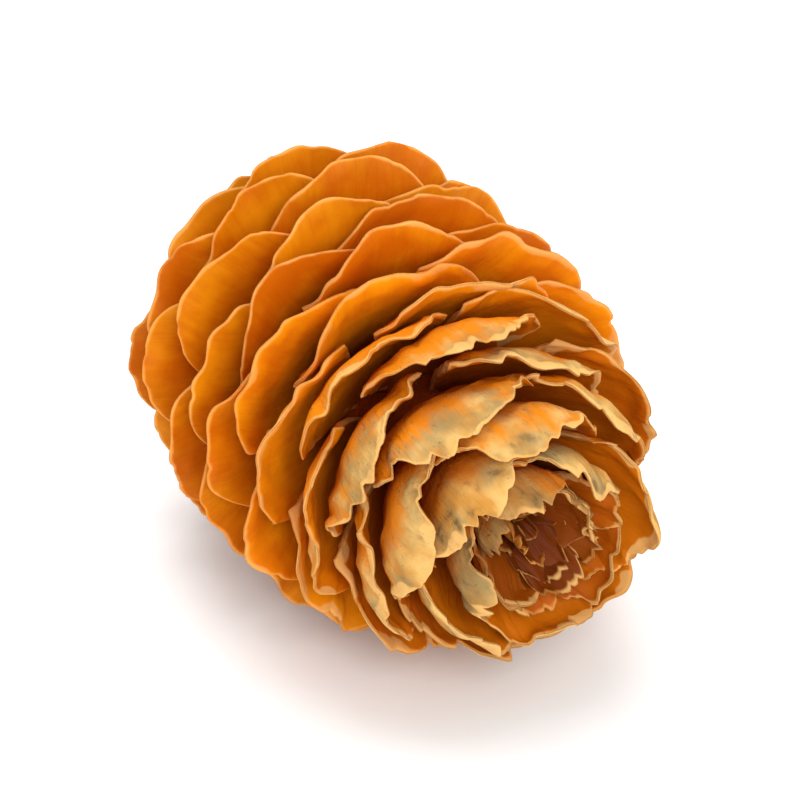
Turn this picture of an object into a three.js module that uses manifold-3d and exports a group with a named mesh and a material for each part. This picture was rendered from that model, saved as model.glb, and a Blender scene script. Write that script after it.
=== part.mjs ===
// A larch cone, dyed orange, that lies on its side as it was picked. One woody axis carries its thin
// rounded scales in a golden-angle spiral. The scales stand out from the middle of the cone, close over
// the tip like a bud and lie flat round the stalk's scar at the other end.
// Units are millimetres. The axis runs along +X from the stalk to the tip, and +Z is up.
import * as THREE from "three";
import { mergeVertices } from "three/addons/utils/BufferGeometryUtils.js";
import Module from "manifold-3d";

const wasm = await Module();
wasm.setup();

// Driving dimensions.
const GOLDEN_ANGLE = 137.508; // degrees from one scale to the next round the axis
const FIRST_TURN = 174; // degrees round the axis of the first scale, which sets the side the cone lies on
const BLADE_THICKNESS = 0.66;
const CLAW_HALF_WIDTH = 1.1; // half of a scale's narrow root
const FAN = 0.85; // how soon a scale widens from its root to its margin, where 1 is evenly
const ROOT_DEPTH = 1.0; // how far a root is sunk below the axis's bark
const LEAST_ROOT_RADIUS = 0.3; // the nearest that a root comes to the middle of the axis
const SHINGLE = -3.5; // degrees of roll that take a scale over one neighbour and under the other
const MARGIN_SWEEP = 78; // degrees of the round margin each side of its foremost point
const REST_HEIGHT = 13.3; // from the surface up to the cone's axis
const BOX_CENTRE = { x: 1.351, y: 0.17 }; // of the finished cone, before it is centred on the origin
const PRESSED = { width: 60, height: 20 }; // of the block of space below the surface the cone lies on

// The scales from the stalk to the tip. rimX and rimR place the middle of the free margin along the axis
// and out from it, and rootX is where the scale leaves the axis. flap is how far from the margin the scale
// bends, and lean the direction of that last part, in degrees from the tip's direction. cup is the radius
// across the scale, and room is how much of the cone's surface each scale has, in mm2.
const SCALE_STOPS = [
  { rimX: -16.1, rimR: 4.8, rootX: -14.6, flap: 1.9, lean: 104, halfWidth: 2.7, cup: 6, room: 14 },
  { rimX: -16.0, rimR: 6.7, rootX: -14.3, flap: 2.5, lean: 100, halfWidth: 3.4, cup: 8, room: 17.4 },
  { rimX: -15.0, rimR: 9.4, rootX: -13.8, flap: 3.0, lean: 97, halfWidth: 4.4, cup: 10, room: 23.42 },
  { rimX: -12.3, rimR: 11.9, rootX: -12.3, flap: 3.2, lean: 96, halfWidth: 5.4, cup: 12, room: 33 },
  { rimX: -6.8, rimR: 13.6, rootX: -9.0, flap: 3.4, lean: 92, halfWidth: 6.0, cup: 14, room: 36 },
  { rimX: 0.0, rimR: 13.8, rootX: -5.0, flap: 3.2, lean: 80, halfWidth: 6.2, cup: 14, room: 38 },
  { rimX: 6.8, rimR: 13.1, rootX: -0.6, flap: 2.8, lean: 46, halfWidth: 6.4, cup: 13, room: 40 },
  { rimX: 12.8, rimR: 10.9, rootX: 3.6, flap: 3.0, lean: -5, halfWidth: 6.4, cup: 11, room: 34 },
  { rimX: 16.6, rimR: 8.1, rootX: 6.8, flap: 3.2, lean: -32, halfWidth: 6.0, cup: 8.5, room: 26 },
  { rimX: 18.5, rimR: 5.8, rootX: 8.8, flap: 3.0, lean: -52, halfWidth: 5.4, cup: 6.3, room: 16 },
  { rimX: 18.9, rimR: 4.0, rootX: 10.6, flap: 2.4, lean: -62, halfWidth: 4.0, cup: 4.4, room: 10 },
  { rimX: 17.6, rimR: 2.7, rootX: 12.2, flap: 1.6, lean: -40, halfWidth: 2.6, cup: 2.6, room: 8 },
  { rimX: 16.0, rimR: 1.6, rootX: 12.6, flap: 0.9, lean: -15, halfWidth: 1.5, cup: 2, room: 6 },
];
const COLLAR = { count: 6, seed: 23 }; // the small scales where the spiral runs on round the stalk
const COLLAR_END = { rimX: -15.8, rimR: 3.5, rootX: -15.0, flap: 1.0, lean: 112, halfWidth: 1.3, cup: 3 };
const BEND_START = 0.7; // share of the way to the bend where it starts
const STOP_STEPS = 60; // steps from one stop to the next when the spiral is laid out

// The axis and the stub of its stalk, from the cut scar to the axis's end inside the tip.
const AXIS_PROFILE = [
  { x: -16.4, r: 0 },
  { x: -16.4, r: 2.0 },
  { x: -16.0, r: 2.4 },
  { x: -15.3, r: 2.5 },
  { x: -14.6, r: 4.6 },
  { x: -12.4, r: 6.0 },
  { x: -4.0, r: 5.0 },
  { x: 4.0, r: 4.0 },
  { x: 8.0, r: 3.2 },
  { x: 12.8, r: 1.8 },
  { x: 14.6, r: 0 },
];
const AXIS_SIDES = 12;

// The cone isn't quite straight: from x on, it droops to one side, by y and z at the tip.
const DROOP = { fromX: 8, toX: 18, y: 1.2, z: -1.7 };

// Corners across a scale, in rows from its root to its margin, and where along it each row lies.
const FOLDED_ROWS = [
  { corners: 2, v: 0 },
  { corners: 4, v: 0.42 },
  { corners: 5, v: 0.74 },
  { corners: 7, v: 1 },
];
const OPEN_ROWS = [
  { corners: 2, v: 0 },
  { corners: 4, v: 0.62 },
  { corners: 7, v: 1 },
];
const SMALL_ROWS = [
  { corners: 2, v: 0 },
  { corners: 3, v: 0.6 },
  { corners: 5, v: 1 },
];
const FOLDED_BELOW = 60; // degrees of lean below which a scale has the folded rows
const LARGE_FROM = 3.9; // half width from which a scale is too wide for the small rows

// Natural unevenness: the most that each scale departs from the rule, either way.
const SEED = 1708;
const UNEVEN = { turn: 4.5, rimX: 0.3, rimR: 0.35, lean: 6, width: 0.08, roll: 3 };

// The waves across a margin: their height, how many half waves there are, and how much both vary.
const WAVE = { height: 0.21, heightSpread: 0.14, count: 2.2, countSpread: 0.8 };

const radians = THREE.MathUtils.degToRad;
const lerp = THREE.MathUtils.lerp;

// A seeded source of numbers from -1 to 1, so that every build gives the same cone.
function makeDice(seed) {
  let state = seed >>> 0;
  return () => {
    state = (state + 0x6d2b79f5) >>> 0;
    let t = state;
    t = Math.imul(t ^ (t >>> 15), t | 1);
    t ^= t + Math.imul(t ^ (t >>> 7), t | 61);
    return (((t ^ (t >>> 14)) >>> 0) / 4294967296) * 2 - 1;
  };
}

// A smooth curve through four values, between the second and the third.
function smoothly(before, start, end, after, t) {
  const slopeIn = (end - before) / 2;
  const slopeOut = (after - start) / 2;
  const cubic = 2 * start - 2 * end + slopeIn + slopeOut;
  const square = -3 * start + 3 * end - 2 * slopeIn - slopeOut;
  return cubic * t ** 3 + square * t ** 2 + slopeIn * t + start;
}

// All of a stop's values at a place between two stops, where 0 is the first stop and 1 the next.
function stopsAt(place) {
  const last = SCALE_STOPS.length - 1;
  const low = Math.min(last - 1, Math.floor(place));
  const [before, start, end, after] = [
    SCALE_STOPS[Math.max(0, low - 1)],
    SCALE_STOPS[low],
    SCALE_STOPS[low + 1],
    SCALE_STOPS[Math.min(last, low + 2)],
  ];
  const values = {};
  for (const key of Object.keys(start)) {
    values[key] = smoothly(before[key], start[key], end[key], after[key], place - low);
  }
  return values;
}

// The spiral: the place of each scale between the stops, so that each has its room on the surface.
function scalePlaces() {
  const places = [];
  let scales = 0.5;
  let from = stopsAt(0);
  for (let step = 1; step <= STOP_STEPS * (SCALE_STOPS.length - 1); step += 1) {
    const place = step / STOP_STEPS;
    const to = stopsAt(place);
    const length = Math.hypot(to.rimX - from.rimX, to.rimR - from.rimR);
    scales += (Math.PI * (from.rimR + to.rimR) * length) / ((from.room + to.room) / 2);
    if (scales >= places.length + 1) places.push(place);
    from = to;
  }
  return places;
}

function axisRadiusAt(x) {
  const next = AXIS_PROFILE.findIndex((point) => point.x > x);
  const [low, high] = [AXIS_PROFILE[next - 1], AXIS_PROFILE[next]];
  return lerp(low.r, high.r, (x - low.x) / (high.x - low.x));
}

function drooped(x, y, z) {
  const share = Math.max(0, (x - DROOP.fromX) / (DROOP.toX - DROOP.fromX)) ** 2;
  return [x, y + DROOP.y * share, z + DROOP.z * share];
}

// The values of a collar scale, where step 1 is the one next to the first scale of the spiral.
function collarAt(step) {
  const values = {};
  for (const key of Object.keys(COLLAR_END)) {
    values[key] = lerp(SCALE_STOPS[0][key], COLLAR_END[key], step / COLLAR.count);
  }
  return values;
}

// The facts of one scale: its place in the spiral, its middle line from root to rim, and its outline.
function scaleFacts(index, stops, dice) {
  const turn = radians(FIRST_TURN + index * GOLDEN_ANGLE + UNEVEN.turn * dice());
  const rootRadius = Math.max(LEAST_ROOT_RADIUS, axisRadiusAt(stops.rootX) - ROOT_DEPTH);
  const root = new THREE.Vector2(stops.rootX, rootRadius);
  const rim = new THREE.Vector2(stops.rimX + UNEVEN.rimX * dice(), stops.rimR + UNEVEN.rimR * dice());
  const lean = radians(stops.lean + UNEVEN.lean * dice());
  const knee = new THREE.Vector2(rim.x - stops.flap * Math.cos(lean), rim.y - stops.flap * Math.sin(lean));
  const middle = new THREE.CubicBezierCurve(root, root.clone().lerp(knee, BEND_START), knee, rim);
  return {
    turn,
    lean,
    middle,
    length: middle.getLength(),
    halfWidth: stops.halfWidth * (1 + UNEVEN.width * dice()),
    cup: stops.cup,
    roll: radians(SHINGLE + UNEVEN.roll * dice()),
    wave: {
      height: WAVE.height + WAVE.heightSpread * dice(),
      phase: Math.PI * dice(),
      count: WAVE.count + WAVE.countSpread * dice(),
    },
  };
}

// A point of a scale: u runs across it from -1 to 1, and v from its root at 0 to its margin at 1. side is
// -1 on the face towards the stalk and 1 on the face towards the tip. Lines of equal u fan out.
function scalePoint(facts, u, v, side) {
  const sweep = u * radians(MARGIN_SWEEP);
  const marginAcross = facts.halfWidth * Math.sin(sweep);
  const marginAlong = facts.length - facts.halfWidth * (1 - Math.cos(sweep));
  const across = lerp(CLAW_HALF_WIDTH * u, marginAcross, v ** FAN);
  const along = Math.min(1, Math.max(0, (v * marginAlong) / facts.length));
  const at = facts.middle.getPointAt(along);
  const heading = facts.middle.getTangentAt(along);
  const towardsTip = new THREE.Vector2(heading.y, -heading.x);
  const bend = across / facts.cup;
  const wave = facts.wave.height * v * v * Math.sin(facts.wave.count * u * Math.PI + facts.wave.phase);
  const lift = facts.cup * (1 - Math.cos(bend)) + wave + across * Math.sin(facts.roll);
  const level = lift + (side * BLADE_THICKNESS) / 2;
  const sideways = facts.cup * Math.sin(bend);
  at.addScaledVector(towardsTip, level);
  const [c, s] = [Math.cos(facts.turn), Math.sin(facts.turn)];
  return drooped(at.x, at.y * c - sideways * s, at.y * s + sideways * c);
}

// The triangles between two rows of corners, as [row, corner] pairs, wound the same way all along.
function stripBetween(rows, row) {
  const [low, high] = [rows[row].corners, rows[row + 1].corners];
  const triangles = [];
  let [i, j] = [0, 0];
  while (i < low - 1 || j < high - 1) {
    const lowNext = i < low - 1 ? (i + 0.5) / (low - 1) : 2;
    const highNext = j < high - 1 ? (j + 0.5) / (high - 1) : 2;
    if (highNext <= lowNext) {
      triangles.push([[row, i], [row + 1, j + 1], [row + 1, j]]);
      j += 1;
    } else {
      triangles.push([[row, i], [row, i + 1], [row + 1, j]]);
      i += 1;
    }
  }
  return triangles;
}

function rowsFor(facts) {
  if (facts.halfWidth < LARGE_FROM) return SMALL_ROWS;
  return facts.lean < radians(FOLDED_BELOW) ? FOLDED_ROWS : OPEN_ROWS;
}

// One scale as a closed blade. Both faces are split into triangles alike.
function bladeGeometry(facts) {
  const rows = rowsFor(facts);
  const positions = [];
  const numbers = new Map();
  for (const side of [-1, 1]) {
    rows.forEach(({ corners, v }, row) => {
      for (let corner = 0; corner < corners; corner += 1) {
        numbers.set(`${side} ${row} ${corner}`, positions.length / 3);
        positions.push(...scalePoint(facts, (2 * corner) / (corners - 1) - 1, v, side));
      }
    });
  }
  const vertex = (side, [row, corner]) => numbers.get(`${side} ${row} ${corner}`);
  const indices = [];
  for (let row = 0; row < rows.length - 1; row += 1) {
    for (const [a, b, c] of stripBetween(rows, row)) {
      indices.push(vertex(-1, a), vertex(-1, b), vertex(-1, c));
      indices.push(vertex(1, a), vertex(1, c), vertex(1, b));
    }
  }
  const lastRow = rows.length - 1;
  const edge = [];
  for (let corner = 0; corner < rows[0].corners - 1; corner += 1) edge.push([0, corner]);
  for (let row = 0; row < lastRow; row += 1) edge.push([row, rows[row].corners - 1]);
  for (let corner = rows[lastRow].corners - 1; corner > 0; corner -= 1) edge.push([lastRow, corner]);
  for (let row = lastRow; row > 0; row -= 1) edge.push([row, 0]);
  edge.forEach((from, i) => {
    const to = edge[(i + 1) % edge.length];
    indices.push(vertex(-1, from), vertex(1, to), vertex(-1, to));
    indices.push(vertex(-1, from), vertex(1, from), vertex(1, to));
  });
  const geometry = new THREE.BufferGeometry();
  geometry.setAttribute("position", new THREE.Float32BufferAttribute(positions, 3));
  geometry.setIndex(indices);
  return geometry;
}

function axisGeometry() {
  const profile = AXIS_PROFILE.map((point) => new THREE.Vector2(point.r, point.x));
  const geometry = new THREE.LatheGeometry(profile, AXIS_SIDES).rotateZ(-Math.PI / 2);
  const points = geometry.attributes.position;
  for (let i = 0; i < points.count; i += 1) {
    points.setXYZ(i, ...drooped(points.getX(i), points.getY(i), points.getZ(i)));
  }
  return geometry;
}

function solidOf(geometry) {
  const bare = geometry.clone();
  bare.deleteAttribute("normal");
  bare.deleteAttribute("uv");
  const merged = mergeVertices(bare, 1e-4);
  const mesh = new wasm.Mesh({
    numProp: 3,
    vertProperties: new Float32Array(merged.attributes.position.array),
    triVerts: new Uint32Array(merged.index.array),
  });
  return new wasm.Manifold(mesh);
}

function geometryOf(solid) {
  const mesh = solid.getMesh();
  const geometry = new THREE.BufferGeometry();
  geometry.setAttribute("position", new THREE.BufferAttribute(mesh.vertProperties, 3));
  geometry.setIndex(new THREE.BufferAttribute(mesh.triVerts, 1));
  return geometry;
}

// The whole cone in its own frame, with its axis on the X axis.
function coneSolid() {
  const dice = makeDice(SEED);
  const collarDice = makeDice(COLLAR.seed);
  let cone = solidOf(axisGeometry());
  scalePlaces().forEach((place, index) => {
    cone = cone.add(solidOf(bladeGeometry(scaleFacts(index, stopsAt(place), dice))));
  });
  for (let step = 1; step <= COLLAR.count; step += 1) {
    cone = cone.add(solidOf(bladeGeometry(scaleFacts(-step, collarAt(step), collarDice))));
  }
  return cone;
}

// Where the cone lies, the lowest scales are pressed flat against the surface. Hollows that are shut in
// between crossing scales are filled, which leaves the outer skin alone.
function laidDown(cone) {
  const below = new THREE.BoxGeometry(PRESSED.width, PRESSED.width, PRESSED.height);
  below.translate(0, 0, -REST_HEIGHT - PRESSED.height / 2);
  const skins = cone.subtract(solidOf(below)).decompose();
  return skins.sort((a, b) => b.volume() - a.volume())[0];
}

const bark = new THREE.MeshStandardMaterial({ color: 0xc86a10, roughness: 0.62, metalness: 0 });
const cone = new THREE.Mesh(geometryOf(laidDown(coneSolid())), bark);
cone.name = "cone";
cone.position.set(-BOX_CENTRE.x, -BOX_CENTRE.y, REST_HEIGHT);

const larchCone = new THREE.Group();
larchCone.add(cone);

export default larchCone;
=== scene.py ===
# %% [markdown]
# # A larch cone, dyed orange
#
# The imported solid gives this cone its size, its rule and its place on the floor. Here each of its scales is
# made again with a fine grid, a thin torn margin and a finish of its own. The cone lies on its side, with its
# axis along X from the stalk to the tip. Lengths in the cells below are in millimetres, as in the solid, and
# become metres when a piece is made.

# %% The frame
import math

import bpy
import numpy as np
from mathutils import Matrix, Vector


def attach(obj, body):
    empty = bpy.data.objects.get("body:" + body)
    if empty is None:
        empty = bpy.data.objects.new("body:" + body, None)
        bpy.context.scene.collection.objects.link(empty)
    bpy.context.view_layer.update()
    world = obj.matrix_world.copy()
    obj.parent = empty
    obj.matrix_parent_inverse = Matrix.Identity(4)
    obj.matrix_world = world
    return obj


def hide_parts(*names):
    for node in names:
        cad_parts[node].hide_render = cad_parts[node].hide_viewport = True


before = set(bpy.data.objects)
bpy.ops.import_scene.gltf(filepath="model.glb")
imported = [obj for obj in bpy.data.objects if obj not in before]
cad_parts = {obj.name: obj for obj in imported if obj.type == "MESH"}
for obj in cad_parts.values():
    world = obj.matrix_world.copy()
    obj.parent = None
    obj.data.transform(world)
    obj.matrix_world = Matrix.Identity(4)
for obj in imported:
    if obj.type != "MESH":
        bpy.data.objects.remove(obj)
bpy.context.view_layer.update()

METRES = 0.001

# %% [markdown]
# ## Dice
#
# A grown thing is uneven, but the same script has to give the same cone every time. These dice are a small
# seeded sum of integers, the same that the solid uses, so scale number 40 leans here as it leans there.

# %% Dice
WORD = 0xFFFFFFFF
STATE_STEP = 0x6D2B79F5


def make_dice(seed):
    """Dice that give numbers from -1 to 1."""
    state = seed

    def roll():
        nonlocal state
        state = (state + STATE_STEP) & WORD
        t = state
        t = ((t ^ (t >> 15)) * (t | 1)) & WORD
        t ^= (t + ((t ^ (t >> 7)) * (t | 61) & WORD)) & WORD
        return (t ^ (t >> 14)) / 2**32 * 2 - 1

    return roll


test_dice = make_dice(1)
print("first rolls:", [round(test_dice(), 3) for _ in range(3)])

# %% [markdown]
# ## The spiral
#
# A larch cone sets each new scale 137.5 degrees round the axis from the last one. What changes from the
# stalk to the tip is where a scale's margin stands, which way it leans and how wide it is. One could place
# each scale by hand, but a short table of stops with smooth values between them gives all of them at once.
# Each scale also takes its share of the surface, called room, and that spaces the spiral along the cone. A
# few small scales run on round the stalk, from the first stop to the end of a collar.

# %% Stops from the stalk to the tip
GOLDEN_ANGLE = 137.508
FIRST_TURN = 174
SHINGLE = -3.5
MARGIN_SWEEP = 78
CLAW_HALF_WIDTH = 1.1
FAN = 0.85
ROOT_DEPTH = 1.0
LEAST_ROOT_RADIUS = 0.3
BEND_START = 0.7
REST_HEIGHT = 13.3
BOX_CENTRE = (1.351, 0.17)
DROOP = {"from_x": 8, "to_x": 18, "y": 1.2, "z": -1.7}
UNEVEN = {"turn": 4.5, "rim_x": 0.3, "rim_r": 0.35, "lean": 6, "width": 0.08, "roll": 3}
WAVE = {"height": 0.21, "height_spread": 0.14, "count": 2.2, "count_spread": 0.8}
# Columns: rim_x, rim_r, root_x, flap, lean, half_width, cup, room.
STOPS = np.array([
    [-16.1, 4.8, -14.6, 1.9, 104, 2.7, 6, 14],
    [-16.0, 6.7, -14.3, 2.5, 100, 3.4, 8, 17.4],
    [-15.0, 9.4, -13.8, 3.0, 97, 4.4, 10, 23.42],
    [-12.3, 11.9, -12.3, 3.2, 96, 5.4, 12, 33],
    [-6.8, 13.6, -9.0, 3.4, 92, 6.0, 14, 36],
    [0.0, 13.8, -5.0, 3.2, 80, 6.2, 14, 38],
    [6.8, 13.1, -0.6, 2.8, 46, 6.4, 13, 40],
    [12.8, 10.9, 3.6, 3.0, -5, 6.4, 11, 34],
    [16.6, 8.1, 6.8, 3.2, -32, 6.0, 8.5, 26],
    [18.5, 5.8, 8.8, 3.0, -52, 5.4, 6.3, 16],
    [18.9, 4.0, 10.6, 2.4, -62, 4.0, 4.4, 10],
    [17.6, 2.7, 12.2, 1.6, -40, 2.6, 2.6, 8],
    [16.0, 1.6, 12.6, 0.9, -15, 1.5, 2, 6],
])
COLLAR_END = np.array([-15.8, 3.5, -15.0, 1.0, 112, 1.3, 3, 0])
COLLAR_COUNT = 6
AXIS_PROFILE = np.array([
    [-16.4, 0], [-16.4, 2.0], [-16.0, 2.4], [-15.3, 2.5], [-14.6, 4.6], [-12.4, 6.0],
    [-4.0, 5.0], [4.0, 4.0], [8.0, 3.2], [12.8, 1.8], [14.6, 0],
])


def stops_at(place):
    """The row of the table at a place between two stops, on a smooth curve through all of them."""
    last = len(STOPS) - 1
    low = min(last - 1, int(place))
    t = place - low
    before, start, end, after = (STOPS[min(last, max(0, low + i))] for i in (-1, 0, 1, 2))
    slope_in, slope_out = (end - before) / 2, (after - start) / 2
    cubic = 2 * start - 2 * end + slope_in + slope_out
    square = -3 * start + 3 * end - 2 * slope_in - slope_out
    return cubic * t**3 + square * t**2 + slope_in * t + start


# %% Place of each scale between the stops
STOP_STEPS = 60


def scale_places():
    """One place for each scale, so that each has its room on the cone's surface."""
    places, count = [], 0.5
    before = stops_at(0)
    for step in range(1, STOP_STEPS * (len(STOPS) - 1) + 1):
        here = stops_at(step / STOP_STEPS)
        length = math.hypot(here[0] - before[0], here[1] - before[1])
        count += math.pi * (before[1] + here[1]) * length / ((before[7] + here[7]) / 2)
        if count >= len(places) + 1:
            places.append(step / STOP_STEPS)
        before = here
    return places


PLACES = scale_places()
print("scales:", len(PLACES))

# %% [markdown]
# ## One scale's facts
#
# In the real cone a scale leaves the axis as a narrow claw, swings outward and bends once more near its
# margin. Its middle line is therefore a cubic curve in the plane of the axis. The curve is measured once, so
# that a share of its length can be turned into a point and a heading.


# %% Middle line and outline of one scale
CURVE_STEPS = 200
SOLID_SEED, COLLAR_SEED = 1708, 23


def axis_radius_at(x):
    """Radius of the axis at a place along it, from its profile without the end that faces the stalk."""
    return float(np.interp(x, AXIS_PROFILE[1:, 0], AXIS_PROFILE[1:, 1]))


def middle_line(root, near_root, knee, rim):
    """A curve with its length, and the points and headings at shares of it."""
    t = np.linspace(0, 1, CURVE_STEPS + 1)[:, None]
    points = (1 - t)**3 * root + 3 * (1 - t)**2 * t * near_root + 3 * (1 - t) * t**2 * knee + t**3 * rim
    slopes = (1 - t)**2 * (near_root - root) + 2 * (1 - t) * t * (knee - near_root) + t**2 * (rim - knee)
    headings = slopes / np.linalg.norm(slopes, axis=1)[:, None]
    steps = np.linalg.norm(np.diff(points, axis=0), axis=1)
    lengths = np.concatenate([[0], np.cumsum(steps)])
    return {"length": lengths[-1], "share": lengths / lengths[-1], "points": points, "headings": headings}


def scale_facts(number, stops, dice):
    """What makes one scale, from its row of stops and nine rolls of the dice."""
    rim_x, rim_r, root_x, flap, lean, half_width, cup, _ = stops
    turn = math.radians(FIRST_TURN + number * GOLDEN_ANGLE + UNEVEN["turn"] * dice())
    root = np.array([root_x, max(LEAST_ROOT_RADIUS, axis_radius_at(root_x) - ROOT_DEPTH)])
    rim = np.array([rim_x + UNEVEN["rim_x"] * dice(), rim_r + UNEVEN["rim_r"] * dice()])
    lean_here = math.radians(lean + UNEVEN["lean"] * dice())
    knee = rim - flap * np.array([math.cos(lean_here), math.sin(lean_here)])
    middle = middle_line(root, root + BEND_START * (knee - root), knee, rim)
    return {
        "number": number, "turn": turn, "lean": lean_here, "middle": middle, "rim_x": rim_x, "rim_r": rim_r,
        "half_width": half_width * (1 + UNEVEN["width"] * dice()), "cup": cup,
        "roll": math.radians(SHINGLE + UNEVEN["roll"] * dice()),
        "wave_height": WAVE["height"] + WAVE["height_spread"] * dice(),
        "wave_phase": math.pi * dice(), "wave_count": WAVE["count"] + WAVE["count_spread"] * dice(),
    }


solid_dice = make_dice(SOLID_SEED)
SCALES = [scale_facts(number, stops_at(place), solid_dice) for number, place in enumerate(PLACES)]
collar_dice = make_dice(COLLAR_SEED)
COLLAR = [
    scale_facts(-step, STOPS[0] + (COLLAR_END - STOPS[0]) * step / COLLAR_COUNT, collar_dice)
    for step in range(1, COLLAR_COUNT + 1)
]
print("longest scale, mm:", round(max(s["middle"]["length"] for s in SCALES), 1))

# %% [markdown]
# ## The torn margin
#
# Seen close, no margin is a clean arc. Those on the cone's flank swing in and out by a tenth of a millimetre
# or two. Those that fold over the tip have dried hard and are split and frayed. A displacement texture could
# fray them, but it would also shift their faces. Moving the margin alone, in the rule that draws the scale,
# keeps the rest of the blade smooth.


# %% Swings, splits and frays of a margin
FOLD_FROM, FOLD_OVER = 62, 85
SWING = {"fine": 0.4, "fine_knots": 11, "broad": 0.6, "broad_knots": 5, "outward": 0.45}
FRAY = {"flank": 0.06, "fold": 0.42, "knots": 7, "soft_knots": 26, "sharp_knots": 54}
SPLIT = {"count": 2, "count_fold": 5, "width": 0.05, "width_fold": 0.03, "depth": 0.2, "depth_fold": 0.6}


def uneven_line(across, random, knots, smooth=True):
    """A random line over across, which runs from -1 to 1, with values from 0 to 1."""
    at = np.linspace(-1, 1, knots) + random.uniform(-0.35, 0.35, knots) * 2 / knots
    heights = random.uniform(0, 1, knots)
    if not smooth:
        return np.interp(across, at, heights)
    fine = np.linspace(-1.1, 1.1, 400)
    low = np.clip(np.searchsorted(at, fine) - 1, 0, knots - 2)
    t = np.clip((fine - at[low]) / (at[low + 1] - at[low]), 0, 1)
    t = t * t * (3 - 2 * t)
    return np.interp(across, fine, heights[low] * (1 - t) + heights[low + 1] * t)


def splits(across, random, count, width, depth):
    """Narrow splits that run in from the margin."""
    cut = np.zeros_like(across)
    for _ in range(count):
        middle = random.uniform(-0.8, 0.8)
        wide, deep = width * random.uniform(0.6, 1.4), depth * random.uniform(0.4, 1)
        cut = np.maximum(cut, deep * np.clip(1 - np.abs(across - middle) / wide, 0, 1))
    return cut


def fold_share(facts):
    """0 for a scale that stands out from the flank, 1 for one that folds over the tip."""
    return float(np.clip((math.radians(FOLD_FROM) - facts["lean"]) / math.radians(FOLD_OVER), 0, 1))


def margin_loss(facts, across, random):
    """How far the margin falls short of its clean arc, in mm."""
    fold = fold_share(facts)
    small = min(1, facts["half_width"] / 4)
    fine = SWING["fine"] * uneven_line(across, random, SWING["fine_knots"])
    swings = fine + SWING["broad"] * uneven_line(across, random, SWING["broad_knots"]) - SWING["outward"]
    notch = random.uniform(-0.2, 0.6) * np.exp(-((across - random.uniform(-0.2, 0.2)) / 0.2)**2)
    frayed = (FRAY["flank"] + FRAY["fold"] * fold) * uneven_line(across, random, FRAY["knots"])
    soft = uneven_line(across, random, FRAY["soft_knots"])
    sharp = uneven_line(across, random, FRAY["sharp_knots"], smooth=False)
    frays = frayed * (0.5 * soft + 0.5 * sharp)
    width, depth = SPLIT["width"] + SPLIT["width_fold"] * fold, SPLIT["depth"] + SPLIT["depth_fold"] * fold
    cuts = splits(across, random, SPLIT["count"] + int(SPLIT["count_fold"] * fold), width, depth)
    return small * (swings + np.maximum(0, notch) + frays + cuts)


def crumple(across, along, random, size, waves=7):
    """Soft dents about size mm apart, from -1 to 1."""
    total = np.zeros_like(across)
    for _ in range(waves):
        angle, number = random.uniform(0, math.pi), 2 * math.pi / (size * random.uniform(0.7, 1.6))
        distance = across * math.cos(angle) + along * math.sin(angle)
        total += np.sin(number * distance + random.uniform(0, 2 * math.pi))
    return total / math.sqrt(waves) / 1.5


# %% [markdown]
# ## One scale as a thin closed leaf
#
# The leaf is a grid: columns fan out from the claw and rows follow the margin. Two copies of the grid, the
# face towards the stalk and the face towards the tip, share their border, and the thickness between them
# swells from nothing at the border like the edge of a coin. So every leaf is closed and its rim is round
# without a modifier. The rows crowd together near the margin, where the light catches the rim.

# %% Grid of one scale
ROWS_FROM_MARGIN = np.array([
    0, 0.02, 0.07, 0.15, 0.26, 0.42, 0.65, 1.0, 1.45, 2.0, 2.7, 3.6, 4.7, 6.2, 8.0, 10.5,
])
SIDE_SHARES = np.array([0, 0.004, 0.014, 0.03, 0.055])
SIDE_BAND = 0.09


def across_shares(columns):
    """Columns from -1 to 1, crowded at both ends."""
    inner = np.linspace(-1 + SIDE_BAND, 1 - SIDE_BAND, columns)
    return np.concatenate([-1 + SIDE_SHARES, inner, (1 - SIDE_SHARES)[::-1]])


def drooped(x, y, z):
    """The tip of the cone hangs a little to the side and down."""
    share = np.maximum(0, (x - DROOP["from_x"]) / (DROOP["to_x"] - DROOP["from_x"]))**2
    return x, y + DROOP["y"] * share, z + DROOP["z"] * share


def scale_sheet(facts, u, v, lift, loss):
    """Points of a scale at the shares u across and v along it, lifted from its middle surface."""
    middle = facts["middle"]
    sweep = u * math.radians(MARGIN_SWEEP)
    margin_along = middle["length"] - facts["half_width"] * (1 - np.cos(sweep)) - loss
    across = (1 - v**FAN) * CLAW_HALF_WIDTH * u + v**FAN * facts["half_width"] * np.sin(sweep)
    share = np.clip(v * margin_along / middle["length"], 0, 1)
    x, r = (np.interp(share, middle["share"], middle["points"][:, i]) for i in (0, 1))
    heading = [np.interp(share, middle["share"], middle["headings"][:, i]) for i in (0, 1)]
    bend = across / facts["cup"]
    wave = facts["wave_height"] * v**2 * np.sin(facts["wave_count"] * u * math.pi + facts["wave_phase"])
    level = facts["cup"] * (1 - np.cos(bend)) + wave + across * math.sin(facts["roll"]) + lift
    x, r, side = x + heading[1] * level, r - heading[0] * level, facts["cup"] * np.sin(bend)
    c, s = math.cos(facts["turn"]), math.sin(facts["turn"])
    return np.stack(drooped(x, r * c - side * s, r * s + side * c), axis=-1), across, share * middle["length"]


# %% Faces of a two-sided grid that shares its border
EDGE_ROUND = 0.2
HALF_THICK = {"margin": 0.1, "more": 0.2, "over": 3}
RIPPLE = {"height": 0.26, "fold": 0.05, "knots": 13, "dent": 0.04, "dent_fold": 0.09, "dent_size": 1.7}
CURL = {"flank": 0.3, "front": 0.5, "reach": 1.3, "knots": 7}
FIRST_ROW, LAST_ROW = 0.06, 0.85
GRAIN_APART = 9.7
FRONT_FROM, FRONT_OVER = 2, 12


def front_share(facts):
    """0 on the flank, 1 from the shoulder's end on."""
    return np.clip((facts["rim_x"] - FRONT_FROM) / FRONT_OVER, 0, 1)


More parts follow.
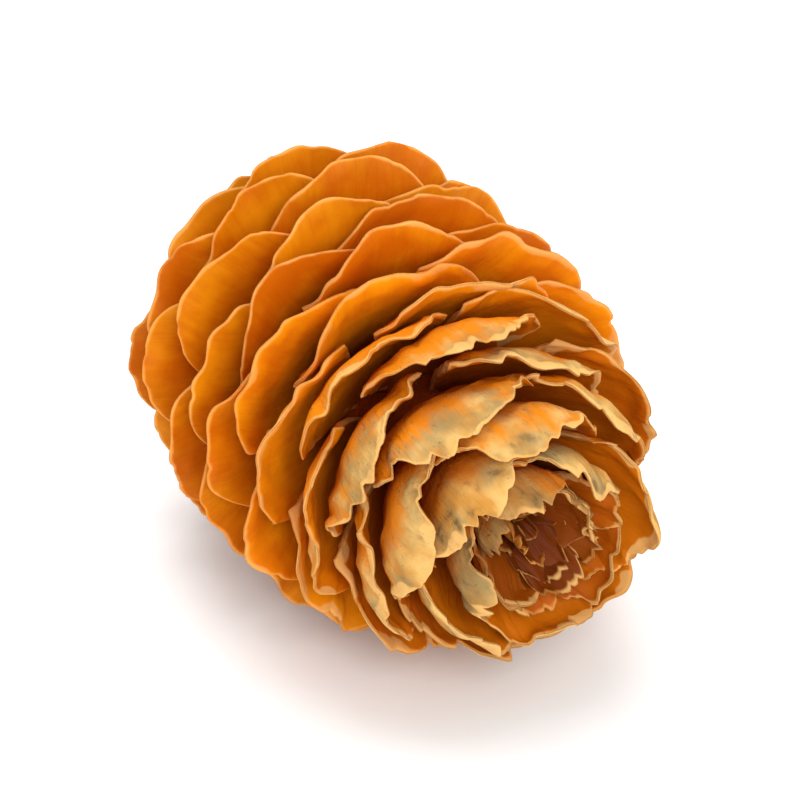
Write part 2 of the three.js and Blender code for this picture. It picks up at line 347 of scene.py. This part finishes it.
def leaf_quads(rows, columns):
    """The quads of both faces, as vertex numbers."""
    outer = np.arange(rows * columns).reshape(rows, columns)
    inner = outer.copy()
    inside = (rows - 2) * (columns - 2)
    inner[1:-1, 1:-1] = rows * columns + np.arange(inside).reshape(rows - 2, columns - 2)

    def quads(grid, flip):
        corners = [grid[:-1, :-1], grid[:-1, 1:], grid[1:, 1:], grid[1:, :-1]]
        return np.stack(corners[::-1] if flip else corners, axis=-1).reshape(-1, 4)

    return np.concatenate([quads(outer, False), quads(inner, True)])


def leaf(facts, columns, random):
    """One scale: points in mm, quads and what the finish needs to know at each point."""
    length, fold = facts["middle"]["length"], fold_share(facts)
    from_margin = ROWS_FROM_MARGIN[ROWS_FROM_MARGIN < LAST_ROW * length]
    along = np.concatenate([[0, FIRST_ROW], (1 - from_margin / length)[::-1]])
    v, u = np.meshgrid(along, across_shares(columns), indexing="ij")
    loss = margin_loss(facts, u, random)
    to_margin = (1 - v) * length
    to_side = (1 - np.abs(u)) * ((1 - v**FAN) * CLAW_HALF_WIDTH + v**FAN * facts["half_width"])
    edge = np.minimum(1, np.minimum(to_margin, to_side) / EDGE_ROUND)
    thick = HALF_THICK["margin"] + HALF_THICK["more"] * np.clip(to_margin / HALF_THICK["over"], 0, 1)
    half = thick * np.sqrt(1 - (1 - edge)**2)
    across_mm = u * facts["half_width"] * v
    wavy = uneven_line(u, random, RIPPLE["knots"]) * 2 - 1
    ripple = (RIPPLE["height"] + RIPPLE["fold"] * fold) * v**6 * wavy
    dents = crumple(across_mm, to_margin, random, RIPPLE["dent_size"])
    ripple += (RIPPLE["dent"] + RIPPLE["dent_fold"] * fold) * dents
    curl = CURL["flank"] + CURL["front"] * (front_share(facts) * (1 - fold))
    near_margin = np.clip(1 - to_margin / CURL["reach"], 0, 1)
    ripple -= curl * near_margin**2 * uneven_line(u, random, CURL["knots"])
    outer, across, on_length = scale_sheet(facts, u, v, ripple - half, loss)
    inner, _, _ = scale_sheet(facts, u, v, ripple + half, loss)
    rows, cols = u.shape
    border = np.ones((rows, cols), bool)
    border[1:-1, 1:-1] = False

    def both(outer_value, inner_value):
        return np.concatenate([outer_value.reshape(-1), inner_value[1:-1, 1:-1].reshape(-1)])

    face = both(np.where(border, 0.5, 1.0), np.zeros((rows, cols)))
    points = np.concatenate([outer.reshape(-1, 3), inner[1:-1, 1:-1].reshape(-1, 3)])
    apart = GRAIN_APART * facts["number"] + 4 * face
    grain = np.stack([both(across, across), both(on_length, on_length), apart], axis=-1)
    values = {
        "outer_face": face, "to_margin": both(to_margin, to_margin), "to_side": both(to_side, to_side),
        "across": both(u, u),
    }
    return points, leaf_quads(rows, cols), values, grain


trial = leaf(SCALES[40], 40, np.random.default_rng(1))
print("one leaf:", len(trial[0]), "points,", len(trial[1]), "quads")

# %% [markdown]
# ## How weathered each scale is
#
# The dye took well on the smooth inner faces and poorly on the backs. The backs near the tip and round the
# stalk are buff with grey mottles, and each scale differs a little from its neighbours. One number for dye
# and one for weather, drawn once for each scale, carry that into the finish. Three more follow from its
# place: how far towards the tip it stands, whether it is one of the bud and whether it is shut in the hollow.


# %% Dye and weather of each scale
WEATHER = {"least": 0.42, "tip": 0.4, "base": 0.35, "spread": 0.16}
TIP_FROM, TIP_OVER = 9, 7
BASE_FROM, BASE_OVER = -9, 6
BUD_FROM, BUD_OVER = 17.0, 1.5
CLOSED = {"from_x": 11, "over_x": 4, "below_r": 5.0, "over_r": 2.4}
TONE_SEED = 31


def weather_of(facts, random):
    """0 where the dye covers the back of a scale, 1 where it is bleached to buff and grey."""
    x, spread = facts["rim_x"], WEATHER["spread"]
    tip, base = np.clip((x - TIP_FROM) / TIP_OVER, 0, 1), np.clip((BASE_FROM - x) / BASE_OVER, 0, 1)
    steady = WEATHER["least"] + WEATHER["tip"] * tip + WEATHER["base"] * base
    return float(np.clip(steady + random.uniform(-spread, spread), 0, 1))


def closed_share(facts):
    """0 on the flank, 1 for the innermost scales, which stay shut and are painted dark as the hollow's shade.
    """
    far_on = np.clip((facts["rim_x"] - CLOSED["from_x"]) / CLOSED["over_x"], 0, 1)
    far_in = np.clip((CLOSED["below_r"] - facts["rim_r"]) / CLOSED["over_r"], 0, 1)
    return float(far_on * far_in)


def tones_of(facts, random):
    """The numbers that the finish needs for a whole scale."""
    bud = float(np.clip((facts["rim_x"] - BUD_FROM) / BUD_OVER, 0, 1))
    return {
        "tone": random.uniform(-1, 1), "weather": weather_of(facts, random),
        "closed": closed_share(facts), "front": float(front_share(facts)), "bud": bud,
    }


tone_random = np.random.default_rng(TONE_SEED)
for facts in SCALES + COLLAR:
    facts["tones"] = tones_of(facts, tone_random)
weathers = [facts["tones"]["weather"] for facts in SCALES]
print("weather from", round(min(weathers), 2), "to", round(max(weathers), 2))

# %% [markdown]
# ## From arrays to a mesh
#
# A piece is made straight from its arrays, because that is quick and leaves nothing to tidy. What the finish
# needs to know is kept as named attributes of the mesh. The lowest scales are pressed flat where the cone
# lies on them, which is what a floor does to thin dry wood under its own small weight.


# %% A piece from its arrays
def to_row_frame(points):
    """From the cone's own frame in mm to the floor's frame in metres."""
    shifted = points + np.array([-BOX_CENTRE[0], -BOX_CENTRE[1], REST_HEIGHT])
    shifted[:, 2] = np.maximum(shifted[:, 2], 0)
    return shifted * METRES


def make_piece(name, points, quads, values, grain=None):
    """A smooth mesh on the cone's body, with its values as attributes."""
    mesh = bpy.data.meshes.new(name)
    mesh.vertices.add(len(points))
    mesh.vertices.foreach_set("co", to_row_frame(points).astype(np.float32).ravel())
    mesh.loops.add(quads.size)
    mesh.loops.foreach_set("vertex_index", quads.astype(np.int32).ravel())
    mesh.polygons.add(len(quads))
    mesh.polygons.foreach_set("loop_start", np.arange(0, quads.size, 4, dtype=np.int32))
    mesh.polygons.foreach_set("loop_total", np.full(len(quads), 4, np.int32))
    mesh.update(calc_edges=True)
    mesh.polygons.foreach_set("use_smooth", np.ones(len(quads), bool))
    for key, value in values.items():
        mesh.attributes.new(key, "FLOAT", "POINT").data.foreach_set("value", value.astype(np.float32))
    if grain is not None:
        kept_grain = mesh.attributes.new("grain", "FLOAT_VECTOR", "POINT")
        kept_grain.data.foreach_set("vector", grain.astype(np.float32).ravel())
    mesh.validate()
    piece = bpy.data.objects.new(name, mesh)
    bpy.context.scene.collection.objects.link(piece)
    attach(piece, "root")
    print(name, len(points), "points,", 2 * len(quads), "triangles")
    return piece


# %% [markdown]
# ## The scales
#
# Four pieces keep each mesh a handy size: the scales that close round the stalk, those on the flank, those on
# the shoulder and those that fold over the tip. The last two need the finest columns, because their torn
# margins face the light.

# %% Scales in four pieces
LEAF_SEED = 500
GROUPS = {
    "stalk_scales": (COLLAR + SCALES[:30], 40), "flank_scales": (SCALES[30:62], 60),
    "shoulder_scales": (SCALES[62:86], 84), "tip_scales": (SCALES[86:], 84),
}


def join_leaves(scales, columns):
    """The leaves of several scales as the arrays of one piece."""
    all_points, all_quads, all_values, all_grain, count = [], [], [], [], 0
    for facts in scales:
        random = np.random.default_rng(LEAF_SEED + facts["number"])
        points, quads, values, grain = leaf(facts, columns, random)
        for key, tone in facts["tones"].items():
            values[key] = np.full(len(points), tone)
        all_points.append(points)
        all_quads.append(quads + count)
        all_values.append(values)
        all_grain.append(grain)
        count += len(points)
    joined = {key: np.concatenate([v[key] for v in all_values]) for key in all_values[0]}
    return np.concatenate(all_points), np.concatenate(all_quads), joined, np.concatenate(all_grain)


scale_pieces = []
for group_name, (scales, columns) in GROUPS.items():
    piece = make_piece(group_name, *join_leaves(scales, columns))
    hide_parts("cone")
    scale_pieces.append(piece)

# %% [markdown]
# ## Curled flakes in the tip
#
# The last scales never grew. They are dry flakes a millimetre or two long, curled round each other in the
# hollow of the tip. Each is drawn by the same rule as a scale, with a tight cup, a steep roll and a place of
# its own, because a flake is a small scale.

# %% Flakes in the hollow
FLAKES = {"count": 12, "columns": 16, "first_number": 200, "seed": 12, "root_x": 13.2}


def flake_facts(number, random):
    """A scale's facts for one flake, nearly all of them drawn at random."""
    rim = np.array([random.uniform(15.2, 16.8), random.uniform(0.5, 2.7)])
    root = np.array([FLAKES["root_x"], 0.3 + 0.35 * rim[1]])
    lean = math.radians(random.uniform(-110, 60))
    knee = rim - random.uniform(0.4, 0.9) * np.array([math.cos(lean), math.sin(lean)])
    return {
        "number": FLAKES["first_number"] + number, "lean": lean, "rim_x": rim[0], "rim_r": rim[1],
        "turn": number * math.radians(GOLDEN_ANGLE) + random.uniform(-0.4, 0.4),
        "middle": middle_line(root, root + BEND_START * (knee - root), knee, rim),
        "half_width": random.uniform(0.5, 1.0), "cup": random.uniform(0.35, 0.7),
        "roll": math.radians(random.uniform(-40, 40)), "wave_height": random.uniform(0.05, 0.15),
        "wave_phase": random.uniform(0, 6), "wave_count": random.uniform(2, 4),
        "tones": {
            "tone": random.uniform(-1, 1), "weather": random.uniform(0.1, 0.6),
            # The flakes lie in the hollow, so closed paints them dark as its shade.
            "closed": 1.0, "front": 1.0, "bud": 0.0,
        },
    }


flake_random = np.random.default_rng(FLAKES["seed"])
flake_list = [flake_facts(number, flake_random) for number in range(FLAKES["count"])]
flakes = make_piece("tip_flakes", *join_leaves(flake_list, FLAKES["columns"]))
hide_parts("cone")
scale_pieces.append(flakes)

# %% [markdown]
# ## Narrow scales on the open side of the tip
#
# The tip droops, so the scales on its lower side stand open and show thin margins one behind the other, like
# the leaves of a book. The spiral alone leaves that side a little bare. A few narrow scales, upright and set
# close, fill it without touching the rule of the rest.

# %% Narrow scales in the tip
NARROW = {"count": 7, "columns": 36, "first_number": 300, "seed": 5, "root": (13.0, 1.0), "flap": 1.4}
OPEN_SIDE, NARROW_TURN = -40, 28


def narrow_facts(number, random):
    """A scale's facts for one of the narrow scales, which stand in two rows round the open side."""
    rim = np.array([random.uniform(17.2, 18.2), 3.3 + 0.6 * (number * 2 % 4) + random.uniform(-0.2, 0.2)])
    lean = math.radians(random.uniform(-38, -8))
    knee = rim - NARROW["flap"] * np.array([math.cos(lean), math.sin(lean)])
    root = np.array(NARROW["root"])
    from_open_side = NARROW_TURN * (number - NARROW["count"] // 2)
    facts = {
        "number": NARROW["first_number"] + number, "lean": lean, "rim_x": rim[0], "rim_r": rim[1],
        "turn": math.radians(OPEN_SIDE + from_open_side + random.uniform(-6, 6)),
        "middle": middle_line(root, root + BEND_START * (knee - root), knee, rim),
        "half_width": random.uniform(1.7, 2.6), "cup": 0.95 * rim[1],
        "roll": math.radians(random.uniform(-8, 2)), "wave_height": random.uniform(0.06, 0.2),
        "wave_phase": random.uniform(0, 6), "wave_count": random.uniform(2, 4),
    }
    facts["tones"] = {
        "tone": random.uniform(-1, 1), "weather": random.uniform(0.4, 0.9),
        # Closed also paints these scales a little darker, as the shade of the tip.
        "closed": min(1, 0.15 + closed_share(facts)), "front": 1.0, "bud": 0.7,
    }
    return facts


narrow_random = np.random.default_rng(NARROW["seed"])
narrow_list = [narrow_facts(number, narrow_random) for number in range(NARROW["count"])]
narrow_scales = make_piece("narrow_scales", *join_leaves(narrow_list, NARROW["columns"]))
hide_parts("cone")
scale_pieces.append(narrow_scales)

# %% [markdown]
# ## Axis and stalk
#
# The axis hardly shows between the scales, but the stub of the stalk does, with the round scar where the cone
# came off its twig. It is turned like a spindle from a profile, then roughened point by point, because a scar
# is a broken surface and a smooth disc would look like a button.

# %% Axis with the stub of the stalk
SPINDLE_SIDES = 72
SPINDLE_SEED = 77
SCAR_SPAN, SCAR_ROWS = 3.2, 26
AXIS_FROM, AXIS_ROWS = 3.4, 60
SCAR_ROUGHNESS, AXIS_ROUGHNESS = 0.09, 0.02
BULGE, BULGES = 0.03, 5
STUB_END = -15.2


def spindle():
    """Points in mm, quads and values of the axis, with fine rings on the scar."""
    scar = [
        [-16.05, 0.0], [-16.1, 0.35], [-16.15, 0.8], [-16.3, 1.2], [-16.45, 1.5],
        [-16.4, 1.75], [-16.2, 1.95], [-16.2, 2.15], [-16.05, 2.35], [-15.7, 2.45],
    ]
    profile = np.concatenate([scar, AXIS_PROFILE[3:]])
    lengths = np.concatenate([[0], np.cumsum(np.linalg.norm(np.diff(profile, axis=0), axis=1))])
    at = np.concatenate([
        np.linspace(0, SCAR_SPAN, SCAR_ROWS), np.linspace(AXIS_FROM, lengths[-1], AXIS_ROWS),
    ])
    x, r = (np.interp(at, lengths, profile[:, i]) for i in (0, 1))
    turn = np.linspace(0, 2 * math.pi, SPINDLE_SIDES, endpoint=False)
    random = np.random.default_rng(SPINDLE_SEED)
    rough = random.uniform(-1, 1, (len(at), SPINDLE_SIDES))
    rough = (rough + np.roll(rough, 1, axis=1) + np.roll(rough, -1, axis=1)) / 3
    x_grid = x[:, None] + SCAR_ROUGHNESS * rough * (r[:, None] > 0.05)
    swell = 1 + BULGE * np.sin(BULGES * turn + 1) + AXIS_ROUGHNESS * rough
    r_grid = np.maximum(0.001, r[:, None] * swell)
    points = np.stack(drooped(x_grid, r_grid * np.cos(turn), r_grid * np.sin(turn)), axis=-1)
    grid = np.arange(points[..., 0].size).reshape(len(at), SPINDLE_SIDES)
    after = np.roll(grid, -1, axis=1)
    quads = np.stack([grid[:-1], after[:-1], after[1:], grid[1:]], axis=-1).reshape(-1, 4)
    radius = np.broadcast_to(r[:, None], r_grid.shape)
    on_stub = np.broadcast_to((x < STUB_END)[:, None], r_grid.shape).astype(float)
    values = {"from_middle": radius.ravel(), "on_stub": on_stub.ravel()}
    return points.reshape(-1, 3), quads, values


stalk = make_piece("axis_and_stalk", *spindle())
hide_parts("cone")

# %% [markdown]
# ## Writing a finish as sums
#
# A finish is a graph of nodes, and long graphs are hard to read. A small class stands for one socket, so that
# a sum or a product of two of them adds its own node. Colours go through mixes and not through sums, because
# a sum of colours would turn grey.


# %% Sockets that add their own nodes
class Wire:
    """One output socket of a finish, with sums and products."""

    def __init__(self, finish, socket):
        self.finish, self.socket = finish, socket

    def _sum(self, operation, first, second):
        return self.finish.add("ShaderNodeMath", {"operation": operation}, {0: first, 1: second})

    def __add__(self, other):
        return self._sum("ADD", self, other)

    def __radd__(self, other):
        return self._sum("ADD", other, self)

    def __sub__(self, other):
        return self._sum("SUBTRACT", self, other)

    def __rsub__(self, other):
        return self._sum("SUBTRACT", other, self)

    def __mul__(self, other):
        return self._sum("MULTIPLY", self, other)

    def __rmul__(self, other):
        return self._sum("MULTIPLY", other, self)

    def __pow__(self, other):
        return self._sum("POWER", self, other)

    def between(self, low, high):
        """0 below low, 1 above high and smooth between them; low may be the larger."""
        if low < high:
            settings = {"interpolation_type": "SMOOTHSTEP"}
            return self.finish.add("ShaderNodeMapRange", settings, {0: self, 1: low, 2: high})
        return 1 - self.between(high, low)


class Finish:
    """A material with one shader, whose nodes are added by one method."""

    def __init__(self, name):
        self.material = bpy.data.materials.new(name)
        self.material.use_nodes = True
        self.nodes, self.links = self.material.node_tree.nodes, self.material.node_tree.links
        self.shader = self.nodes["Principled BSDF"]

    def add(self, kind, settings, values, output=0):
        node = self.nodes.new(kind)
        for key, setting in settings.items():
            setattr(node, key, setting)
        for key, value in values.items():
            self.join(node.inputs[key], value)
        return Wire(self, node.outputs[output])

    def join(self, socket, value):
        if isinstance(value, Wire):
            self.links.new(value.socket, socket)
        else:
            socket.default_value = value

    def attribute(self, name, output="Fac"):
        return self.add("ShaderNodeAttribute", {"attribute_name": name}, {}, output)

    def mix(self, share, first, second):
        """A colour between two colours."""
        settings = {"data_type": "RGBA", "clamp_factor": True}
        return self.add("ShaderNodeMix", settings, {0: share, 6: first, 7: second}, 2)

    def noise(self, where, size, detail=3, rough=0.55, stretch=(1, 1, 1)):
        """Soft noise about 0.5 whose marks are size mm across, drawn out by stretch."""
        shares = [1 / (size * s) for s in stretch]
        scaled = self.add("ShaderNodeVectorMath", {"operation": "MULTIPLY"}, {0: where, 1: shares})
        values = {"Vector": scaled, "Scale": 1, "Detail": detail, "Roughness": rough}
        return self.add("ShaderNodeTexNoise", {}, values)

    def bump(self, height, distance, strength=1.0, normal=None):
        """A normal raised by height, where a height of 1 is distance mm."""
        values = {"Height": height, "Distance": distance * METRES, "Strength": strength}
        if normal is not None:
            values["Normal"] = normal
        return self.add("ShaderNodeBump", {}, values)

    def shade(self, **values):
        for key, value in values.items():
            self.join(self.shader.inputs[key.replace("_", " ")], value)


def colour(hex_code):
    """A shader colour from the way it looks on a screen."""
    parts = [int(hex_code[i:i + 2], 16) / 255 for i in (0, 2, 4)]
    return [p / 12.92 if p <= 0.04045 else ((p + 0.055) / 1.055)**2.4 for p in parts] + [1]


print("orange:", [round(c, 3) for c in colour("D87A10")])

# %% [markdown]
# ## The finish of a scale
#
# Three surfaces meet on one scale. The inner face is smooth, with a dull satin shine, and takes the dye
# evenly, golden and burnt orange in soft clouds. Away from the margin, under the next scale, and in the
# hollow of the tip it is painted dark brown as shade. The back is matt and fibrous, with grey mottles and
# dark pits.
# On the flank it is orange with buff margins, painted darker as shade at its knee and under the next scale.
# Near the tip the dye has gone from its middle instead, and on the bud it is cream with a few dark spots. The
# rim is pale, partly raw wood and partly a painted highlight, and it is painted dark as shade in the hollow.
# The attributes of the mesh say which of the three a point is on, and noise along the grain breaks each
# border up.

# %% Inner face, back and rim of a scale
scale_finish = Finish("dyed_scale")
grain = scale_finish.attribute("grain", "Vector")
outer_face = scale_finish.attribute("outer_face")
to_margin = scale_finish.attribute("to_margin")
to_side = scale_finish.attribute("to_side")
across = scale_finish.attribute("across")
tone = scale_finish.attribute("tone")
weather = scale_finish.attribute("weather")
closed = scale_finish.attribute("closed")
front = scale_finish.attribute("front")
bud = scale_finish.attribute("bud")

clouds = scale_finish.noise(grain, 4.5, 2)
blotches = scale_finish.noise(grain, 1.6, 3, 0.5)
fibres = scale_finish.noise(grain, 0.28, 3, 0.6, (1, 7, 1))
specks = scale_finish.noise(grain, 0.4, 2, 0.5)

shoulder = 4 * front * (1 - front)
tip_end = front.between(0.65, 1.0)
golden = scale_finish.mix(shoulder, colour("DD8806"), colour("F0960A"))
golden = scale_finish.mix(tip_end, golden, colour("C66A06"))
burnt = scale_finish.mix(shoulder, colour("C66202"), colour("D87206"))
burnt = scale_finish.mix(tip_end, burnt, colour("A84E04"))
# Painted shade: a dark brown for faces under the next scale or in the hollow, darkest on the scales shut in
# the hollow.
shade_brown = scale_finish.mix(closed, colour("AA4004"), colour("521C02"))
streaks = scale_finish.noise(grain, 0.5, 3, 0.6, (1, 9, 1))
dye_here = clouds + 0.14 * tone + 0.4 * (blotches - 0.5) + 0.4 * (streaks - 0.5) + 0.15 * (front - 0.3)
dye = scale_finish.mix(dye_here.between(0.18, 0.78), burnt, golden)
# Painted shade: the inner face darkens to that brown further from the margin, and all over on the scales shut
# in the hollow.
painted_shade_share = (to_margin + 3.4 * closed + 1.5 * tip_end + 1.6 * (clouds - 0.5)).between(5.0, 9.5)
inner_colour = scale_finish.mix((0.6 - 0.2 * shoulder + 0.3 * closed) * painted_shade_share, dye, shade_brown)
inner_colour = scale_finish.mix(0.9 * closed, inner_colour, shade_brown)
# Painted shade: deeper still, towards the claw, the inner face turns darker brown, less so towards the tip.
deep = to_margin.between(6.0, 10.0)
inner_colour = scale_finish.mix((0.6 - 0.4 * front) * deep, inner_colour, colour("742806"))

# %% The back: bare margins on the flank, and near the tip bare middles
edge = scale_finish.add("ShaderNodeMath", {"operation": "MINIMUM"}, {0: to_margin, 1: to_side})
buff = scale_finish.mix(front, colour("C6985C"), colour("C28638"))
pale_buff = scale_finish.mix(front, colour("DCBC86"), colour("D8AE68"))
grey = scale_finish.mix(front, colour("857660"), colour("7C6C48"))
back_orange = colour("DA7C06")
pit = colour("5A3618")
buff_here = scale_finish.mix(blotches.between(0.3, 0.7), buff, pale_buff)
grey_clouds = scale_finish.noise(grain, 2.2, 3, 0.5)
greyed = grey_clouds + 0.25 * (weather - 0.6) + 0.04 * tip_end
mottled = scale_finish.mix(0.7 * greyed.between(0.46, 0.76), buff_here, grey)
bare = weather + 1.5 * (clouds - 0.5) + 0.6 * (blotches - 0.5) + 0.6 * (streaks - 0.5)
bare = bare - front * (1.1 * across**2 + 0.15 * to_margin + 0.12) + 0.27 * bud
bare = bare + (1 - front) * (0.55 * (edge + 1.2 * (blotches - 0.5)).between(1.5, 0.3) - 0.3)
dark_spots = bud * scale_finish.noise(grain, 1.1, 3, 0.5).between(0.56, 0.7)
mottled = scale_finish.mix(0.65 * dark_spots, mottled, colour("64482A"))
back_colour = scale_finish.mix(bare.between(0.08, 0.6), back_orange, mottled)
# Painted shade: the back darkens to a deeper orange near its knee.
knee_shade = (to_margin + 2 * (blotches - 0.5)).between(1.5, 3.6)
back_colour = scale_finish.mix(0.85 * knee_shade, back_colour, colour("BE6204"))
back_colour = scale_finish.mix(0.5 * specks.between(0.68, 0.76) * bare, back_colour, pit)
# Painted shade: deep under the next scale the back turns dark brown, and in the hollow greyish brown.
back_colour = scale_finish.mix(0.8 * to_margin.between(4.0, 7.0), back_colour, shade_brown)
back_colour = scale_finish.mix(0.45 * closed, back_colour, colour("6E5636"))

# %% The rim, and all three together
# The pale rim is partly raw wood and partly a painted highlight along the margin.
raw = scale_finish.noise(grain, 3.0, 2, 0.5).between(0.46, 0.62)
rim = scale_finish.mix(weather + 0.5 * front * raw, colour("F89C3A"), colour("E4B068"))
# Painted shade: in the hollow the rim turns dark brown.
rim = scale_finish.mix(0.75 * closed * (1 - raw), rim, colour("8E4A16"))
rim_width = 0.05 + 0.8 * front * raw * (1 - closed) + 0.5 * (blotches - 0.5)
rim_share = (edge - rim_width).between(0.18, -0.06)
faces = scale_finish.mix(outer_face.between(0.4, 0.6), inner_colour, back_colour)
scale_colour = scale_finish.mix(0.8 * rim_share, faces, rim)
scale_roughness = 0.5 + 0.25 * outer_face + 0.12 * (blotches - 0.5)
relief = (0.4 + 0.6 * outer_face) * (0.4 * fibres + 0.6 * blotches)
pits = 1 - specks.between(0.62, 0.75) * outer_face
fine = scale_finish.bump(relief, 0.45, 0.8)
pitted = scale_finish.bump(pits, 0.1, 0.6, fine)
scale_finish.shade(Base_Color=scale_colour, Roughness=scale_roughness, Normal=pitted)
scale_finish.shader.inputs["Specular IOR Level"].default_value = 0.1
for piece in scale_pieces:
    piece.data.materials.append(scale_finish.material)
print("nodes in the scale's finish:", len(scale_finish.nodes))

# %% [markdown]
# ## The finish of the stalk
#
# The scar is corky and reddish orange, with a thin pale ring where the bark ends and dark brown bark down
# the side. The distance from the middle is enough to tell them apart. Between the scales the axis is reddish
# brown.

# %% Scar, ring and bark
stalk_finish = Finish("stalk_scar")
where = stalk_finish.add("ShaderNodeTexCoord", {}, {}, "Object")
in_mm = stalk_finish.add("ShaderNodeVectorMath", {"operation": "SCALE"}, {0: where, "Scale": 1000})
from_middle = stalk_finish.attribute("from_middle")
on_stub = stalk_finish.attribute("on_stub")
cork = stalk_finish.noise(in_mm, 0.45, 4, 0.65)
core = stalk_finish.mix(cork.between(0.36, 0.64), colour("A23C12"), colour("D0682A"))
ring_starts = (from_middle + 0.8 * (cork - 0.5)).between(1.6, 1.8)
ring_ends = (from_middle + 0.5 * (cork - 0.5)).between(1.95, 2.15)
ring = ring_starts - ring_ends
stub = stalk_finish.mix(0.8 * ring, core, colour("DE9A56"))
stub = stalk_finish.mix((from_middle + 0.4 * (cork - 0.5)).between(2.05, 2.4), stub, colour("5E3A22"))
bark = stalk_finish.mix(cork, colour("762A08"), colour("9C3E0A"))
stalk_finish.shade(
    Base_Color=stalk_finish.mix(on_stub, bark, stub), Roughness=0.72 + 0.2 * (cork - 0.5),
    Normal=stalk_finish.bump(cork, 0.25, 0.8),
)
stalk_finish.shader.inputs["Specular IOR Level"].default_value = 0.1
stalk.data.materials.append(stalk_finish.material)

# %% [markdown]
# ## Floor and light
#
# The cone lies on plain white in soft light. One large lamp hangs above it and leaves a soft shadow under
# it. A second one stands on the camera's side and lights the tip. The rest of the light comes evenly from all
# round, as from the white walls of a light tent. The floor is a hair below the cone, so that the two never
# share a plane. Lengths from here on are in metres.

# %% Floor
FLOOR_SIZE, FLOOR_GAP = 3, 0.00003
bpy.ops.mesh.primitive_plane_add(size=FLOOR_SIZE, location=(0, 0, -FLOOR_GAP))
floor = bpy.context.object
floor.name = "floor"
floor_finish = Finish("white_floor")
floor_finish.shade(Base_Color=[0.93, 0.93, 0.93, 1], Roughness=0.9)
floor_finish.shader.inputs["Specular IOR Level"].default_value = 0.1
floor.data.materials.append(floor_finish.material)

# %% Lamps and surrounding light
VIEW = {"azimuth": 62, "elevation": 31, "distance": 0.185, "height": 0.0135}
KEY_LAMP = {"distance": 0.5, "size": 0.34, "power": 1.4}
FRONT_LAMP = {"distance": 0.6, "size": 0.4, "power": 2.1}
TENT_LIGHT = 0.8
scene = bpy.context.scene
azimuth, elevation = math.radians(VIEW["azimuth"]), math.radians(VIEW["elevation"])
level = math.cos(elevation)
back = Vector((math.sin(azimuth) * level, -math.cos(azimuth) * level, math.sin(elevation)))
right = Vector((math.cos(azimuth), math.sin(azimuth), 0))
level_back = Vector((back.x, back.y, 0)).normalized()
target = Vector((0, 0, VIEW["height"]))


def lamp(name, direction, distance, size, power):
    data = bpy.data.lights.new(name, "AREA")
    data.shape, data.size, data.energy = "DISK", size, power
    light = bpy.data.objects.new(name, data)
    light.location = target + direction.normalized() * distance
    light.rotation_euler = direction.to_track_quat("Z", "Y").to_euler()
    scene.collection.objects.link(light)
    print(name, [round(c, 3) for c in light.location])


lamp("key_lamp", Vector((0, 0, 1)) - 0.1 * right - 0.2 * level_back, **KEY_LAMP)
lamp("front_lamp", Vector((0, 0, 0.6)) + 0.9 * level_back + 0.25 * right, **FRONT_LAMP)
world = bpy.data.worlds.new("light_tent")
world.use_nodes = True
background = world.node_tree.nodes["Background"]
background.inputs["Color"].default_value = (1, 1, 1, 1)
background.inputs["Strength"].default_value = TENT_LIGHT
scene.world = world
scene.view_settings.view_transform = "Standard"

# %% [markdown]
# ## Camera
#
# The photograph looks down on the cone from in front of its tip, with the axis running away to the upper
# left. A long lens keeps the near scales from swelling.

# %% Camera
LENS_MM, CLIP_END = 135, 10
camera_data = bpy.data.cameras.new("camera")
camera_data.lens = LENS_MM
camera_data.clip_end = CLIP_END
camera = bpy.data.objects.new("camera", camera_data)
camera.location = target + back * VIEW["distance"]
camera.rotation_euler = back.to_track_quat("Z", "Y").to_euler()
scene.collection.objects.link(camera)
scene.camera = camera
